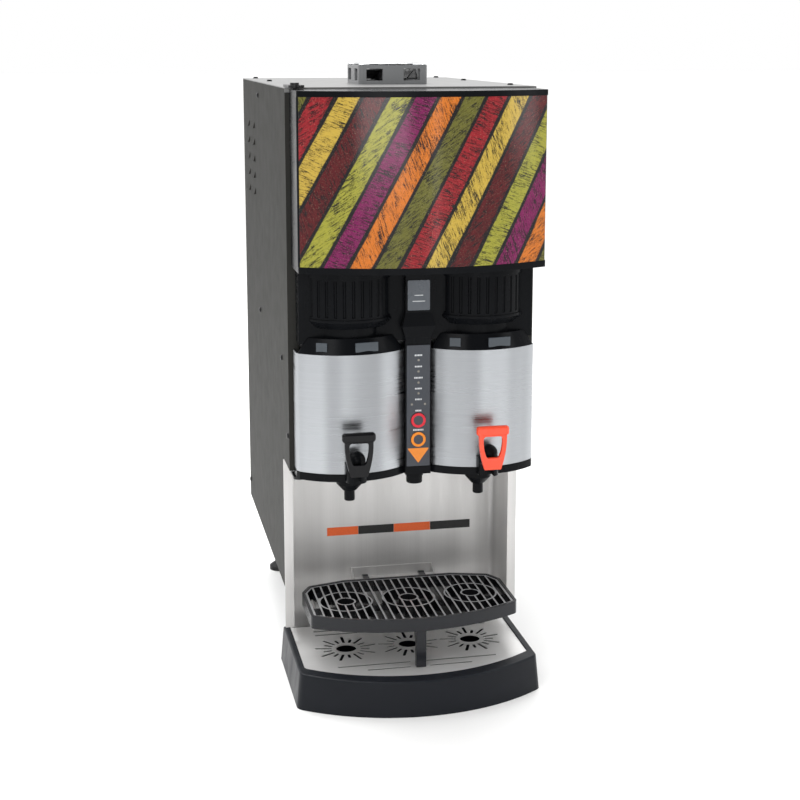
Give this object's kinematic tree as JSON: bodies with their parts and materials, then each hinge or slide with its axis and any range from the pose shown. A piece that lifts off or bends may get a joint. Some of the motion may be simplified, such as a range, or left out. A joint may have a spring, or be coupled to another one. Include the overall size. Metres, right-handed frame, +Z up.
{
  "type": "commercial coffee brewer",
  "caption": "Tall counter dispenser for hot coffee and hot water: hinged front with steel drums and pull taps, fold-up cup tray, pull-out drip tray, top fan.",
  "frame": {"origin": "on the counter, under the middle of the machine's own bounding box", "axes": "+Z up, -Y towards the person using the machine, +X to that person's right"},
  "size_m": [0.3252, 0.616, 0.8146],
  "materials": {
    "case_paint": "satin dark grey powder coat",
    "splash_steel": "brushed stainless",
    "drum_steel": "brushed stainless, fine horizontal grain",
    "cover_steel": "brushed stainless",
    "zinc_sheet": "plain plated sheet",
    "black_plastic": "semi-gloss black moulding",
    "basin_plastic": "charcoal textured moulding",
    "tray_plastic": "dark grey moulding",
    "display_art": "glossy printed sheet",
    "panel_film": "slate grey control film",
    "label_grey": "dark grey plate",
    "tab_grey": "grey moulding",
    "handle_black": "gloss black",
    "handle_orange": "gloss orange-red",
    "button_red": "red ring on slate",
    "button_amber": "amber ring on slate",
    "lamp_lens": "clear lens",
    "fan_metal": "grey die casting",
    "fan_black": "black moulding",
    "guard_chrome": "bright wire",
    "screw_black": "black oxide",
    "leg_black": "black moulding",
    "rubber_black": "black rubber",
    "bottle_white": "natural polyethylene",
    "cap_brown": "brown moulding",
    "pump_grey": "grey moulding",
    "motor_steel": "plated steel",
    "tube_clear": "translucent silicone",
    "tank_steel": "drawn stainless",
    "heater_metal": "dark sheathed element",
    "valve_body": "brass",
    "board_green": "circuit board",
    "coil_iron": "laminated iron",
    "harness_black": "wire sleeve"
  },
  "bodies": {
    "cabinet": {"left_side_panel": "case_paint", "right_side_panel": "case_paint", "rear_panel": "case_paint", "top_cover_front": "case_paint", "top_cover_rear": "case_paint", "cabinet_floor": "zinc_sheet", "head_deck": "zinc_sheet", "inner_bulkhead": "zinc_sheet", "product_shelf": "zinc_sheet", "splash_panel": "splash_steel", "tray_hanger": "splash_steel", "cabinet_legs": "leg_black", "leveling_feet": "screw_black", "hinge_brackets": "screw_black", "case_screws": "screw_black", "fan_frame": "fan_metal", "fan_guard": "guard_chrome", "product_containers": "bottle_white", "container_caps": "cap_brown", "pump_housings": "pump_grey", "pump_motors": "motor_steel", "product_tubes": "tube_clear", "water_manifold": "tank_steel", "tank_bracket": "zinc_sheet", "tank_shell": "tank_steel", "tank_gasket": "rubber_black", "tank_lid": "tank_steel", "heating_element": "heater_metal", "tank_probes": "tank_steel", "inlet_valve": "valve_body", "inlet_fitting": "valve_body", "dispense_valve": "valve_body", "power_gland": "leg_black", "control_board": "board_green", "transformer": "coil_iron", "wiring_harness": "harness_black"},
    "door": {"door_shell": "black_plastic", "graphic_panel": "display_art", "left_drum_skin": "drum_steel", "right_drum_skin": "drum_steel", "drum_lids": "black_plastic", "lid_tabs": "tab_grey", "mixing_bowls": "black_plastic", "hot_water_nozzle": "black_plastic", "tap_bodies": "black_plastic", "control_panel": "panel_film", "indicator_lights": "lamp_lens", "label_plate": "label_grey", "tap_switches": "fan_black"},
    "left_tap": {"left_tap_handle": "handle_black"},
    "right_tap": {"right_tap_handle": "handle_orange"},
    "stop_key": {"stop_button": "button_red"},
    "hot_water_key": {"hot_water_button": "button_amber"},
    "cup_tray": {"cup_tray_frame": "tray_plastic", "cup_tray_grille": "tray_plastic"},
    "drip_basin": {"drip_tray": "basin_plastic", "drip_tray_cover": "cover_steel"},
    "fan_wheel": {"fan_rotor": "fan_black"},
    "left_pump_wheel": {"left_pump_rotor": "pump_grey"},
    "right_pump_wheel": {"right_pump_rotor": "pump_grey"}
  },
  "joints": [
    {"name": "door_hinge", "type": "hinge", "parent": "cabinet", "child": "door", "pos_m": [-0.149, -0.2085, 0.54], "axis": [0, 0, -1], "range_deg": [0, 105]},
    {"name": "left_tap_pull", "type": "hinge", "parent": "door", "child": "left_tap", "pos_m": [-0.085, -0.27, 0.318], "axis": [1, 0, 0], "range_deg": [0, 22], "stiffness_Nm_per_rad": 0.6},
    {"name": "right_tap_pull", "type": "hinge", "parent": "door", "child": "right_tap", "pos_m": [0.085, -0.27, 0.318], "axis": [1, 0, 0], "range_deg": [0, 22], "stiffness_Nm_per_rad": 0.6},
    {"name": "stop_press", "type": "slide", "parent": "door", "child": "stop_key", "axis": [0, 1, 0], "range_m": [0, 0.0006], "stiffness_N_per_m": 800},
    {"name": "hot_water_press", "type": "slide", "parent": "door", "child": "hot_water_key", "axis": [0, 1, 0], "range_m": [0, 0.0006], "stiffness_N_per_m": 800},
    {"name": "cup_tray_fold", "type": "hinge", "parent": "cabinet", "child": "cup_tray", "pos_m": [0, -0.072, 0.102], "axis": [-1, 0, 0], "range_deg": [0, 78]},
    {"name": "drip_tray_slide", "type": "slide", "parent": "cabinet", "child": "drip_basin", "axis": [0, -1, 0], "range_m": [0, 0.18]},
    {"name": "fan_spin", "type": "hinge", "parent": "cabinet", "child": "fan_wheel", "pos_m": [0, -0.03, 0.798], "axis": [0, 0, 1], "continuous": true},
    {"name": "left_pump_spin", "type": "hinge", "parent": "cabinet", "child": "left_pump_wheel", "pos_m": [-0.085, -0.166, 0.385], "axis": [0, -1, 0], "continuous": true},
    {"name": "right_pump_spin", "type": "hinge", "parent": "cabinet", "child": "right_pump_wheel", "pos_m": [0.085, -0.166, 0.385], "axis": [0, -1, 0], "continuous": true}
  ]
}
